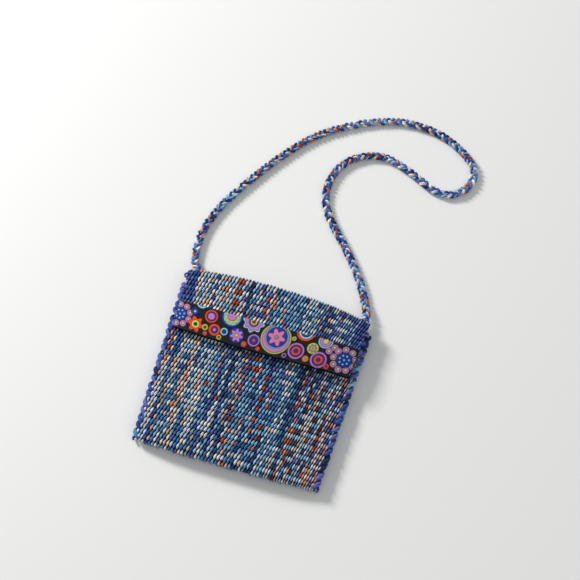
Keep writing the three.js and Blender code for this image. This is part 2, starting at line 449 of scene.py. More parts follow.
def yarn_material(name, plies=3, twist=4.0):
    material = bpy.data.materials.new(name)
    material.use_nodes = True
    tree = material.node_tree
    shader = tree.nodes["Principled BSDF"]
    tone = add_node(tree, "ShaderNodeAttribute", attribute_name="tone")
    lit = add_node(tree, "ShaderNodeAttribute", attribute_name="lit")
    place = add_node(tree, "ShaderNodeUVMap", uv_map="yarn")
    dyed = add_node(tree, "ShaderNodeGroup", node_tree=PLIED_YARN)
    tree.links.new(tone.outputs["Fac"], dyed.inputs["Tone"])
    tree.links.new(lit.outputs["Fac"], dyed.inputs["Lit"])
    tree.links.new(place.outputs["UV"], dyed.inputs["Place"])
    dyed.inputs["Plies"].default_value = plies
    dyed.inputs["Twist mm"].default_value = twist
    bump = add_node(tree, "ShaderNodeBump", {"Height": dyed.outputs["Height"]})
    bump.inputs["Distance"].default_value = PLY_RELIEF
    tree.links.new(dyed.outputs["Color"], shader.inputs["Base Color"])
    tree.links.new(dyed.outputs["Roughness"], shader.inputs["Roughness"])
    tree.links.new(bump.outputs["Normal"], shader.inputs["Normal"])
    shader.inputs["Sheen Weight"].default_value = WOOL_SHEEN
    shader.inputs["Sheen Roughness"].default_value = 0.5
    shader.inputs["Specular IOR Level"].default_value = 0.2
    return material


WARP_WOOL = yarn_material("warp_wool")
WEFT_WOOL = yarn_material("weft_wool", twist=5.0)
STRAP_WOOL = yarn_material("strap_wool", plies=2, twist=5.0)

# %% [markdown]
# ## The path of the cloth
# One function places any spot of the strip. It takes a distance along the strip, measured in
# the middle of the bag, and a place across it, and gives the middle of the cloth's thickness
# and the outward direction there. Rows of the weave then meet across the whole width, even
# where the sides take a shorter way round the folds than the middle does. The path has seven
# parts: front, bottom fold, back, bend of the top fold, its rise, its turn, and flap.

# %% Lengths along the path
FRONT_RUN = MOUTH_Y - JOIN_Y
BOTTOM_RUN = math.pi * (FRONT_Z - CLOTH / 2) / 2
BACK_RUN = BACK_TOP_Y - JOIN_Y
BEND_RADIUS = FOLD_RADIUS - CLOTH / 2
BEND_RUN = math.pi / 2 * BEND_RADIUS
RISE_RUN = FLAP_Z - TURN_RADIUS - FOLD_RADIUS
TURN_RUN = math.pi / 2 * TURN_RADIUS
FLAP_RUN = hinge.y - TURN_RADIUS - FLAP_END_Y
RUNS = [FRONT_RUN, BOTTOM_RUN, BACK_RUN, BEND_RUN, RISE_RUN, TURN_RUN, FLAP_RUN]
ENDS = np.cumsum([0, *RUNS])
BOTTOM_AT, _, BEND_AT, RISE_AT, TURN_AT, FLAP_AT, STRIP = map(float, ENDS[1:])
print("the strip is", round(STRIP / MM, 1), "mm long")


# %% A spot on the cloth
def cloth_at(path, across):
    """Middle of the cloth and its outward direction. across is from -1 to 1, edge to edge."""
    path, across = np.broadcast_arrays(np.asarray(path, float), np.asarray(across, float))
    fall = drop(across)
    bow = BOW * across ** 2 + SKEW * across
    y, z = np.empty(path.shape), np.empty(path.shape)
    ny, nz = np.zeros(path.shape), np.ones(path.shape)
    tilt = np.zeros(path.shape)
    steep = CROWN * CROWN_POWER * np.abs(across) ** (CROWN_POWER - 1)
    lean = np.sign(across) * steep / TOP_HALF
    part = np.clip(np.searchsorted(ENDS, path, side="right") - 1, 0, len(RUNS) - 1)
    share = (path - ENDS[part]) / np.diff(ENDS)[part]
    bottom_radius = (FRONT_Z - CLOTH / 2 - fall) / 2
    edge_y = hinge.y - bow

    m = part == 0
    y[m] = MOUTH_Y + (JOIN_Y - MOUTH_Y) * share[m]
    z[m] = FRONT_Z - fall[m]
    tilt[m] = lean[m]
    m = part == 1
    angle = math.pi * share[m]
    y[m] = JOIN_Y - bottom_radius[m] * np.sin(angle)
    z[m] = CLOTH / 2 + bottom_radius[m] * (1 + np.cos(angle))
    ny[m], nz[m] = -np.sin(angle), np.cos(angle)
    m = part == 2
    y[m] = JOIN_Y + (BACK_TOP_Y - bow[m] - JOIN_Y) * share[m]
    z[m] = CLOTH / 2
    nz[m] = -1
    m = part == 3
    angle = math.pi / 2 * share[m]
    y[m] = edge_y[m] - BEND_RADIUS * (1 - np.sin(angle))
    z[m] = FOLD_RADIUS - BEND_RADIUS * np.cos(angle)
    ny[m], nz[m] = np.sin(angle), -np.cos(angle)
    m = part == 4
    y[m] = edge_y[m]
    z[m] = FOLD_RADIUS + (FLAP_Z - fall[m] - TURN_RADIUS - FOLD_RADIUS) * share[m]
    ny[m], nz[m] = 1, 0
    m = part == 5
    angle = math.pi / 2 * share[m]
    y[m] = edge_y[m] - TURN_RADIUS * (1 - np.cos(angle))
    z[m] = FLAP_Z - fall[m] - TURN_RADIUS * (1 - np.sin(angle))
    ny[m], nz[m] = np.cos(angle), np.sin(angle)
    m = part == 6
    start = edge_y[m] - TURN_RADIUS
    y[m] = start + (FLAP_END_Y - flap_dip(across[m]) - start) * share[m]
    z[m] = FLAP_Z - fall[m]
    tilt[m] = lean[m]
    y_in = np.clip(y, JOIN_Y, TOP_Y)
    x = across * np.where(part >= 5, flap_half_width(y_in), half_width(y_in))
    middle = np.stack([x, y, z], -1)
    outward = unit(np.stack([tilt * np.abs(nz), ny, nz], -1))
    return middle, outward


# %% [markdown]
# ## Streaks of colour
# A warp yarn keeps its colour for a few centimetres, and warps that lie side by side were cut
# from the same lengths of the skein, so the cloth shows upright streaks: creamy at the left,
# greyer blue in the middle, paler again at the right, and rust in a few narrow ones. Each
# band below says how likely the tones are in it, and a seeded draw does the rest.

# %% Bands across the cloth
FLAP_EDGE_SHARE = 0.065
FLAP_EDGE_BAND = dict(violet=5, royal=3, navy=1, mid=2, sky=2, ice=0.5)
FLAP_PALE_SHARE = 0.26
FLAP_PALE_BAND = dict(cream=5, ice=5, sky=4, peach=2, mid=2, violet=1.5, royal=0.5)
FLAP_RIGHT_SHARE = 0.72
FLAP_RIGHT_BAND = dict(sky=3.5, mid=3, ice=2.3, cream=2, deep=2.5, violet=1.8, peach=1.8,
                       rust=0.9, royal=1)
BANDS = [
    (0.045, dict(cream=3, ice=2, sky=2, violet=2, peach=1.5, rust=0.5, royal=0.7)),
    (0.068, dict(royal=4, mid=4, sky=0.7)),
    (0.27, dict(cream=4.5, ice=4.5, sky=3.5, peach=2.8, mid=2.5, violet=1, deep=0.8)),
    (0.31, dict(rust=1.7, peach=2.5, ice=2, sky=2, mid=2, royal=1, cream=1)),
    (0.49, dict(sky=4, mid=3.5, ice=3.5, violet=2.5, deep=1.5, royal=1.2, rust=0.9, peach=2,
                cream=1.5)),
    (0.52, dict(rust=1.6, peach=2, mid=3, sky=3, ice=1, deep=1)),
    (0.66, dict(mid=4, sky=4, deep=2.2, ice=2.5, violet=2.5, peach=1.7, royal=1.2, rust=0.4)),
    (0.72, dict(ice=4, cream=2.5, sky=3, mid=2, deep=1.5)),
    (0.77, dict(rust=1.2, brown=0.8, deep=2.5, sky=3, peach=1.5, mid=2, ice=2)),
    (0.95, dict(cream=2.2, ice=3.4, sky=3.4, mid=3, deep=2.4, peach=2, rust=0.9, brown=0.5,
                violet=1.2, navy=0.7)),
    (1.01, dict(violet=2, cream=1.5, sky=2, royal=1.5, ice=1, peach=1, navy=1)),
]


def band_weights(share, on_flap):
    """How likely each tone is at a place across, from 0 to 1. The flap's sides differ."""
    if on_flap and min(share, 1 - share) < FLAP_EDGE_SHARE:
        return FLAP_EDGE_BAND
    if on_flap and share < FLAP_PALE_SHARE:
        return FLAP_PALE_BAND
    if on_flap and share > FLAP_RIGHT_SHARE:
        return FLAP_RIGHT_BAND
    for end, weights in BANDS:
        if share < end:
            return weights
    return BANDS[-1][1]


# %% Runs of one colour along a yarn
FLOAT_RUN = 9.73 * MM
SHORT_RUN, LONG_RUN = 22 * MM, 100 * MM
STRAY = 0.2
TONE_DRIFT = 0.022
FLAP_COLOURS_AT = RISE_AT + 5 * MM
POUCH_COLOURS_END = RISE_AT + 6 * MM


def pick(rng, weights):
    """One name drawn from weights by its odds."""
    names = list(weights)
    odds = np.array([weights[n] for n in names], float)
    return names[rng.choice(len(names), p=odds / odds.sum())]


def tone_runs(rng, share):
    """Ends of the colour runs along one warp, and the tone of each."""
    ends, tones, at = [], [], 0.0
    while at < STRIP:
        weights = band_weights(share, at > FLAP_COLOURS_AT)
        main = pick(rng, weights)
        last = POUCH_COLOURS_END if at < RISE_AT else math.inf
        stop = min(at + rng.uniform(SHORT_RUN, LONG_RUN), last)
        while at < stop:
            at += FLOAT_RUN
            name = pick(rng, weights) if rng.random() < STRAY else main
            ends.append(at)
            tones.append(TONES[name][0] + rng.normal(0, TONE_DRIFT))
    return np.array(ends), np.array(tones)


def tone_at(runs, path):
    ends, tones = runs
    return tones[np.minimum(np.searchsorted(ends, path), len(tones) - 1)]


# %% [markdown]
# ## Warp
# The cloth is a warp-faced plain weave: each warp yarn goes over one weft and under the next,
# and the warps are so close that they hide the weft. The visible grain is a warp's float. A
# wave along the path gives the over and under, and the section is widest at the top of it.
# Warps lie closer together towards the right. The strip is made in two lengths: the pouch's,
# and the one that turns over the top fold and hangs as the flap.

# %% Places of the warps
ROW = 4.866 * MM
ROWS = int(round(STRIP / ROW))
ROW = STRIP / ROWS
WARPS = 118
OPEN_WARPS, CLOSE_WARPS = 1.1, 0.8


def warp_places():
    """Where each warp lies across, from 0 to 1, and how wide its own room is next to the mean."""
    middle_of = (np.arange(WARPS) + 0.5) / WARPS
    room = np.interp(middle_of, [0.5, 0.75], [OPEN_WARPS, CLOSE_WARPS])
    room /= room.mean()
    edges = np.concatenate([[0], np.cumsum(room)]) / WARPS
    return (edges[:-1] + edges[1:]) / 2, room


WARP_SHARE, WARP_ROOM = warp_places()

# %% [markdown]
# Little light gets down between the yarns, so a float's colour is painted brightest at its
# crest, seen from the outside, and in the same way seen from the inside of the pouch or under
# the open flap. Where it dips, painted shade darkens it down to DIP_SHADE.

# %% One warp yarn
RINGS_PER_ROW = 4
WAVE = 1.05 * MM
EDGE_INSET = 1.6 * MM
PINCHED, PLUMP = 0.52 * MM, 0.96 * MM
FLAT, ROUND = 0.62 * MM, 0.92 * MM
LEAN = 0.40 * MM
SWAY = 0.05 * MM
SIZE_DRIFT = 0.10
LEAST_SIZE, MOST_SIZE = 0.8, 1.2
DIP_SHADE = 0.04
OUTER_MIDDLE, OUTER_GAIN = 0.50, 0.95
INNER_FROM, INNER_GAIN = 0.4, 2.2


def warp_yarn(j, start, end, rng, runs):
    """Warp number j from one place on the path to another."""
    count = int(round((end - start) / ROW * RINGS_PER_ROW)) + 1
    path = np.linspace(start, end, count)
    across = (2 * WARP_SHARE[j] - 1) * (1 - EDGE_INSET / TOP_HALF)
    middle, outward = cloth_at(path, across)
    phase = np.pi * (path / ROW - 0.5 + j)
    wave = np.cos(phase)
    plump = wave ** 2
    knots = np.arange(start, end + ROW, ROW)
    size = 1 + SIZE_DRIFT * np.interp(path, knots, rng.normal(0, 1, len(knots)))
    size = np.clip(size, LEAST_SIZE, MOST_SIZE)
    centre = middle + outward * (WAVE * wave)[:, None]
    centre[:, 0] += rng.normal(0, SWAY) - LEAN * np.sin(phase)
    wide = (PINCHED + (PLUMP - PINCHED) * plump) * size * WARP_ROOM[j]
    tall = FLAT + (ROUND - FLAT) * plump
    # painted shade: lit is the share of the yarn's colour kept, least where it dips under its
    # neighbours
    outside = np.clip(OUTER_MIDDLE + OUTER_GAIN * wave, 0, 1)
    inside = np.clip(-INNER_GAIN * (wave + INNER_FROM), 0, 1)
    lit = DIP_SHADE + (1 - DIP_SHADE) * np.maximum(outside, inside)
    return yarn(centre, outward, wide, tall, tone_at(runs, path), path, lit)


# %% All the warp
FLAP_WARP_END = STRIP - 1.4 * MM


def weave_warp():
    """The front's, the back's and the flap's warps. Those past the top fold's ends stop short."""
    rng = np.random.default_rng(7)
    front, back, over = [], [], []
    middle_of_bottom = BOTTOM_AT + BOTTOM_RUN / 2
    for j, share in enumerate(WARP_SHARE):
        runs = tone_runs(rng, share)
        in_fold = abs(2 * share - 1) < FOLD_SHARE
        back_end = RISE_AT if in_fold else BEND_AT
        flap_start = RISE_AT if in_fold else TURN_AT
        front.append(warp_yarn(j, 0, middle_of_bottom, rng, runs))
        back.append(warp_yarn(j, middle_of_bottom, back_end, rng, runs))
        over.append(warp_yarn(j, flap_start, FLAP_WARP_END, rng, runs))
    return front, back, over


front_yarns, back_yarns, flap_yarns = weave_warp()
front_warp = yarn_piece("front_warp", front_yarns, sides=6)
back_warp = yarn_piece("back_warp", back_yarns, sides=6)
flap_warp = yarn_piece("flap_warp", flap_yarns)
for piece in (front_warp, back_warp, flap_warp):
    piece.data.materials.append(WARP_WOOL)

# %% [markdown]
# ## Dark middle sheet: painted shade between the yarns
# Between the yarns one sees only shade. A thin near-black sheet in the middle of the cloth's
# thickness paints that shade, and it is the piece that counts as the sheet of cloth: it has the
# strip's real width and length, and the yarns go with it. It's a grid bent along the same
# path, and a Solidify modifier gives it its half millimetre.

# %% A sheet on the path
SHEET_THICK = 0.5 * MM
SHEET_REACH = 0.985


def cloth_grid(name, path, across, keep=None):
    """A sheet on the cloth's path. keep says which cells stay, where the cut isn't a rectangle."""
    grid_path, grid_across = np.meshgrid(path, across, indexing="ij")
    middle, _ = cloth_at(grid_path, grid_across)
    columns = len(across)
    i, j = np.meshgrid(np.arange(len(path) - 1), np.arange(columns - 1), indexing="ij")
    quads = np.stack([i, i + 1, i + 1, i], -1) * columns + np.stack([j, j, j + 1, j + 1], -1)
    quads = quads[keep] if keep is not None else quads.reshape(-1, 4)
    used, corners = np.unique(quads, return_inverse=True)
    points = middle.reshape(-1, 3)[used]
    piece = mesh_object(name, points, corners.ravel(), 4 * np.arange(len(quads)))
    thick = piece.modifiers.new("thickness", "SOLIDIFY")
    thick.thickness = SHEET_THICK
    thick.offset = 0
    return piece


def plain_material(name, colour, roughness, specular=0.5):
    """One even colour all over."""
    material = bpy.data.materials.new(name)
    material.use_nodes = True
    shader = material.node_tree.nodes["Principled BSDF"]
    shader.inputs["Base Color"].default_value = linear(colour)
    shader.inputs["Roughness"].default_value = roughness
    shader.inputs["Specular IOR Level"].default_value = specular
    return material


# %% Dark sheet of painted shade in the pouch and the flap
# painted shade: the sheet is near-black to stand for the shade between the yarns
PAINTED_GAP_SHADE = plain_material("ground_shade", (6, 8, 18), 0.95, specular=0.1)
COLUMNS = 49
ROWS_IN_PART = [40, 13, 40, 9, 7, 7, 30]
HAIR = 0.001 * MM


def grid_rows(first, last):
    """Places on the path for the grid's rows, from one part of the path to another."""
    rows = [np.linspace(ENDS[i], ENDS[i + 1], ROWS_IN_PART[i]) for i in range(first, last + 1)]
    return np.concatenate([row[:-1] for row in rows[:-1]] + [rows[-1]])


def make_shade_sheets():
    across = np.linspace(-SHEET_REACH, SHEET_REACH, COLUMNS)
    pouch = cloth_grid("pouch_cloth", grid_rows(0, 2), across)
    flap_path = grid_rows(3, 6)
    across = np.sort(np.concatenate([across, [-FOLD_SHARE, FOLD_SHARE]]))
    wide = (flap_path[:-1] >= TURN_AT - HAIR)[:, None]
    inside = (np.abs(across[:-1] + across[1:]) / 2 < FOLD_SHARE)[None, :]
    flap = cloth_grid("flap_cloth", flap_path, across, wide | inside)
    for piece in (pouch, flap):
        piece.data.materials.append(PAINTED_GAP_SHADE)
    return pouch, flap


pouch_cloth, flap_cloth = make_shade_sheets()
print("ground cloth faces:", len(pouch_cloth.data.polygons), len(flap_cloth.data.polygons))

# %% [markdown]
# ## Weft and selvedge
# One weft yarn runs to and fro through all the warps. At each edge it turns round the last
# warp and goes back in the next shed, which makes the plump loops of the selvedge. It's drawn
# thin where the warps cover it and swells where it comes out. The first loop at each side lies
# at the fold, where it would stretch when the flap opens, so it is slimmer.

# %% Weft yarn
WEFT_THIN = 0.55 * MM
WEFT_RINGS = 60
WEFT_COLOURS = dict(violet=3, royal=2, navy=4, deep=2)
EDGE_COLOURS = dict(violet=6, royal=3, navy=0.8, mid=0.8, sky=0.5)


def weft_row(row, rng, reach=SHEET_REACH):
    across = np.linspace(-reach, reach, WEFT_RINGS)
    middle, outward = cloth_at(np.full(WEFT_RINGS, (row + 0.5) * ROW), across)
    tone = TONES[pick(rng, WEFT_COLOURS)][0]
    return yarn(middle, outward, WEFT_THIN, WEFT_THIN, tone)


# %% Loops of the selvedge
LOOP_FAT = 1.4 * MM
LOOP_OUT = 1.9 * MM
LOOP_DEEP = 0.052
LOOP_TILT = 0.9 * MM
LOOP_RINGS = 15
FIRST_LOOP = 0.7


def edge_loop(row, side, rng, fat):
    """The turn of the weft between two rows, at one edge."""
    turn = np.linspace(-1, 1, LOOP_RINGS) * np.pi / 2
    path = (row + 1 + 0.5 * np.sin(turn)) * ROW
    inner = 1 - LOOP_DEEP * (1 - np.cos(turn) ** 0.8)
    middle, outward = cloth_at(path, side * inner)
    bulge = np.cos(turn) ** 0.7
    middle[:, 0] += side * LOOP_OUT * rng.uniform(0.75, 1.1) * (bulge - 0.55)
    middle += outward * (LOOP_TILT * np.sin(turn) * rng.choice([-1, 1]))[:, None]
    size = fat * rng.uniform(0.88, 1.1) * (0.72 + 0.28 * bulge)
    tone = TONES[pick(rng, EDGE_COLOURS)][0] + rng.normal(0, 0.015)
    return yarn(middle, outward, size, size * 0.92, tone)


# %% All the weft
def weave_weft():
    """The pouch's rows, the flap's rows, and the loops at the flap's two edges."""
    rng = np.random.default_rng(11)
    pouch, flap, loops = [], [], []
    for row in range(ROWS):
        at = (row + 0.5) * ROW
        in_fold = BEND_AT <= at < TURN_AT
        rows = pouch if at < BEND_AT else flap
        rows.append(weft_row(row, rng, FOLD_SHARE if in_fold else SHEET_REACH))
    first = int(math.ceil(TURN_AT / ROW))
    for side in (-1, 1):
        for row in range(first + (side > 0), ROWS - 1, 2):
            fat = LOOP_FAT * (FIRST_LOOP if row < first + 2 else 1)
            loops.append(edge_loop(row, side, rng, fat))
    return pouch, flap, loops


pouch_rows, flap_rows, flap_loops = weave_weft()
pouch_weft = yarn_piece("pouch_weft", pouch_rows, sides=6)
flap_weft = yarn_piece("flap_weft", flap_rows, sides=6)
flap_selvedge = yarn_piece("flap_selvedge", flap_loops, sides=10)

# %% [markdown]
# ## Hems
# The two cut ends of the strip, at the mouth and under the ribbon, are each held by a thicker
# yarn that wraps the last row.

# %% Hems
HEM_FAT = 1.45 * MM
HEM_REACH = 0.975
HEM_RINGS = 230
HEM_WRAPS = 40
HEM_WAVE = 0.25 * MM
HEM_SWELL = 0.08
MOUTH_PUSH, FLAP_PUSH = 0.2 * MM, 2.0 * MM


def hem(path, push, rng):
    """The thick yarn at one end of the strip, pushed up the cloth."""
    across = np.linspace(-HEM_REACH, HEM_REACH, HEM_RINGS)
    middle, outward = cloth_at(np.full(HEM_RINGS, path), across)
    middle[:, 1] += push
    wave = np.sin(across * np.pi * HEM_WRAPS)
    middle += outward * (HEM_WAVE * wave)[:, None]
    tone = TONES["navy"][0] + rng.normal(0, 0.01)
    return yarn(middle, outward, HEM_FAT, HEM_FAT * (1 + HEM_SWELL * wave), tone)


hem_rng = np.random.default_rng(13)
mouth_hem = yarn_piece("mouth_hem", [hem(0.0, MOUTH_PUSH, hem_rng)], sides=10)
flap_hem = yarn_piece("flap_hem", [hem(STRIP, FLAP_PUSH, hem_rng)], sides=10)

# %% [markdown]
# ## Side seams
# The front and the back are joined down each side by overcast stitches in the same thick yarn.
# A stitch comes up round the edge, runs along it for most of a centimetre, and dives into the
# cloth under the start of the next one, so that the seam looks like a rope. The same happens
# on the back.

# %% Side seams
STITCH_PITCH = 7.0 * MM
STITCH_LONG = 10.0 * MM
STITCH_FAT = 1.75 * MM
STITCH_STEP = 0.7 * MM
STITCH_OUT = np.array([0.1, 1.0, 1.1, 0.4, -0.9, -2.4, -3.7]) * MM
STITCH_LIFT = np.array([-2.6, -1.6, -0.2, 1.0, 1.6, 1.3, -0.7]) * MM
BACK_LIFT, BACK_FAT = 0.75, 0.8
HUB_DEPTH = 1.5 * MM
SEAM_LOW, SEAM_HIGH = JOIN_Y + 1.0 * MM, MOUTH_Y - 5 * MM
SEAM_JITTER = 0.5 * MM


def overcast_stitch(y, side, face, rng):
    """One stitch along the edge from height y. face is 1 on the front and -1 on the back."""
    front = float(cloth_at(0.0, 1.0)[0][2])
    level = front if face > 0 else CLOTH / 2
    along = np.linspace(0, 1, len(STITCH_OUT)) * STITCH_LONG * rng.uniform(0.85, 1.12)
    lift = STITCH_LIFT * (1.0 if face > 0 else BACK_LIFT)
    out = STITCH_OUT + rng.uniform(-0.35, 0.35) * MM
    height = y - face * along + face * STITCH_LONG / 2
    points = np.column_stack([side * (half_width(height) + out), height, level + face * lift])
    line = even_line(smooth_line(points, 10), STITCH_STEP)
    hub = np.column_stack([side * (half_width(line[:, 1]) - HUB_DEPTH), line[:, 1],
                           np.full(len(line), level - face * HUB_DEPTH)])
    share = np.linspace(0, 1, len(line))
    plump = np.sin(np.pi * share) ** 0.45
    fat = STITCH_FAT * rng.uniform(0.85, 1.1) * (1.0 if face > 0 else BACK_FAT)
    tone = TONES[pick(rng, EDGE_COLOURS)][0] + rng.normal(0, 0.02)
    wide, tall = fat * (0.5 + 0.5 * plump), fat * (0.45 + 0.35 * plump)
    return yarn(line, unit(line - hub), wide, tall, tone)


def sew_side(side, seed):
    """All the stitches of one side, -1 or 1, on the front and then on the back."""
    rng = np.random.default_rng(seed)
    count = int((SEAM_HIGH - SEAM_LOW) / STITCH_PITCH) + 1
    stitches = []
    for face in (1, -1):
        heights = np.linspace(SEAM_LOW, SEAM_HIGH, count) + rng.normal(0, SEAM_JITTER, count)
        stitches += [overcast_stitch(y, side, face, rng) for y in heights]
    return stitches


side_seam_left = yarn_piece("seam_yarn_left", sew_side(-1, 17), sides=10)
side_seam_right = yarn_piece("seam_yarn_right", sew_side(1, 19), sides=10)
for piece in (pouch_weft, flap_weft, flap_selvedge, mouth_hem, flap_hem, side_seam_left,
              side_seam_right):
    piece.data.materials.append(WEFT_WOOL)

# %% [markdown]
# ## Strap
# The strap is a plain braid of three strands, and each strand is a bunch of three yarns. A
# strand swings from side to side and crosses over the others, so it rises twice for every
# swing. The three strands do the same thing a third of a swing apart.

# %% Braid
BRAID_SWING = 13.5 * MM
BRAID_SIDE = 2.35 * MM
BRAID_RISE = 1.05 * MM
BUNCH = 0.82 * MM
BRAID_YARN = 0.86 * MM
BRAID_TWIST = 19.0 * MM
SHORT_DYE, LONG_DYE = 9, 34
SPARE_LENGTH = 0.05
STRAP_COLOURS = [
    dict(cream=4, ice=3, rust=2, peach=2, sky=1),
    dict(violet=5, royal=3, navy=1, sky=1),
    dict(sky=4, mid=3, deep=2, navy=2, royal=1),
]


def strand_tones(weights, rng):
    """Ends of the colour runs along one yarn of the braid, and the tone of each."""
    ends, tones, at = [], [], 0.0
    while at < STRAP_LENGTH + SPARE_LENGTH:
        at += rng.uniform(SHORT_DYE, LONG_DYE) * MM
        ends.append(at)
        tones.append(TONES[pick(rng, weights)][0])
    return np.array(ends), np.array(tones) + rng.normal(0, 0.015, len(tones))


def braid(line, seed):
    """The nine yarns of a braid along a line."""
    rng = np.random.default_rng(seed)
    step = np.linalg.norm(np.diff(line, axis=0), axis=1)
    run = np.concatenate([[0], np.cumsum(step)])
    along = unit(np.gradient(line, axis=0))
    side = unit(np.cross(along, [0, 0, 1.0]))
    up = np.cross(side, along)
    yarns = []
    for strand, weights in enumerate(STRAP_COLOURS):
        phase = 2 * np.pi * (run / BRAID_SWING - strand / 3)
        centre = line + side * (BRAID_SIDE * np.sin(phase))[:, None]
        centre = centre + up * (BRAID_RISE * np.sin(2 * phase))[:, None]
        for part in range(3):
            angle = 2 * np.pi * (part / 3 + run / BRAID_TWIST)
            place = centre + side * (BUNCH * np.cos(angle))[:, None]
            place = place + up * (BUNCH * np.sin(angle))[:, None]
            runs = strand_tones(weights, rng)
            yarns.append(yarn(place, up, BRAID_YARN, BRAID_YARN, tone_at(runs, run), run))
    return yarns


# %% [markdown]
# The braid goes on for about a centimetre inside each top corner, where two wraps of seam yarn
# hold it to the back and the fold.

# %% Strap and its ends
STRAP_RINGS = even_line(STRAP_LINE, 1.0 * MM)
EXIT_Y = STRAP_EXIT_Y * MM
EXIT_Z = STRAP_EXIT_Z * MM
END_OVERLAP = 0.5 * MM
END_INSIDE = 10.5 * MM
END_RINGS = 14
WRAPS = 2
WRAP_RINGS = 60
WRAP_BELOW = 2.5 * MM
WRAP_PITCH = 2.2 * MM
WRAP_WIDE, WRAP_TALL = 3.9 * MM, 2.6 * MM
WRAP_YARN, WRAP_YARN_TALL = 1.0 * MM, 0.7 * MM


def strap_end(side, seed):
    """The braid's end inside one top corner."""
    x = side * STRAP_EXIT_X * MM
    top, bottom = (x, EXIT_Y + END_OVERLAP, EXIT_Z), (x, EXIT_Y - END_INSIDE, EXIT_Z)
    return braid(np.linspace(top, bottom, END_RINGS), seed)


def tack(side, seed):
    """Wraps of yarn round the braid, just inside the corner."""
    rng = np.random.default_rng(seed)
    angle = np.linspace(0, 2 * np.pi * WRAPS, WRAP_RINGS)
    x = side * STRAP_EXIT_X * MM + WRAP_WIDE * np.cos(angle)
    y = EXIT_Y - WRAP_BELOW - angle / (2 * np.pi) * WRAP_PITCH
    z = EXIT_Z + WRAP_TALL * np.sin(angle)
    centre = np.column_stack([x, y, z])
    out = unit(np.column_stack([np.cos(angle), 0 * angle, np.sin(angle)]))
    tone = TONES["violet"][0] + rng.normal(0, 0.02)
    return yarn(centre, out, WRAP_YARN, WRAP_YARN_TALL, tone)


strap = yarn_piece("braided_strap", braid(STRAP_RINGS, 23))
strap_end_left = yarn_piece("strap_inside_left", strap_end(-1, 29))
strap_end_right = yarn_piece("strap_inside_right", strap_end(1, 31))
tack_left = yarn_piece("strap_wrap_left", [tack(-1, 37)])
tack_right = yarn_piece("strap_wrap_right", [tack(1, 41)])
for piece in (strap, strap_end_left, strap_end_right, tack_left, tack_right):
    piece.data.materials.append(STRAP_WOOL)

# %% [markdown]
# ## Ribbon
# A jacquard ribbon 26 mm wide covers the flap's lower edge and stops just short of its sides.
# It's a black ground with many round flowers, rings and dots in bright thread, and each of
# them stands up a little. The ribbon is one closed band with a fine grid on its face. The
# figures are drawn by distance: a point's colour and height follow from how far it is from
# the middle of a figure.

# %% Figures
BLACK = (20, 18, 24)
DARK_BLUE = (14, 34, 96)
BLUE = (16, 58, 152)
LILAC = (192, 124, 194)
PALE = (156, 212, 228)
LIME = (196, 208, 92)
ORANGE = (238, 72, 22)
RED = (176, 26, 24)
PINK = (222, 122, 168)
TEAL = (70, 168, 170)


def figure(x, y, *bands, lobes=0, depth=0.0, dots=None, petals=None):
    """A round figure: bands are (radius in mm, colour) from the outside in. lobes and depth
    make a wavy outline, dots are spots on it, and petals are round ones about it."""
    return dict(x=x, y=y, bands=bands, lobes=lobes, depth=depth, dots=dots, petals=petals)


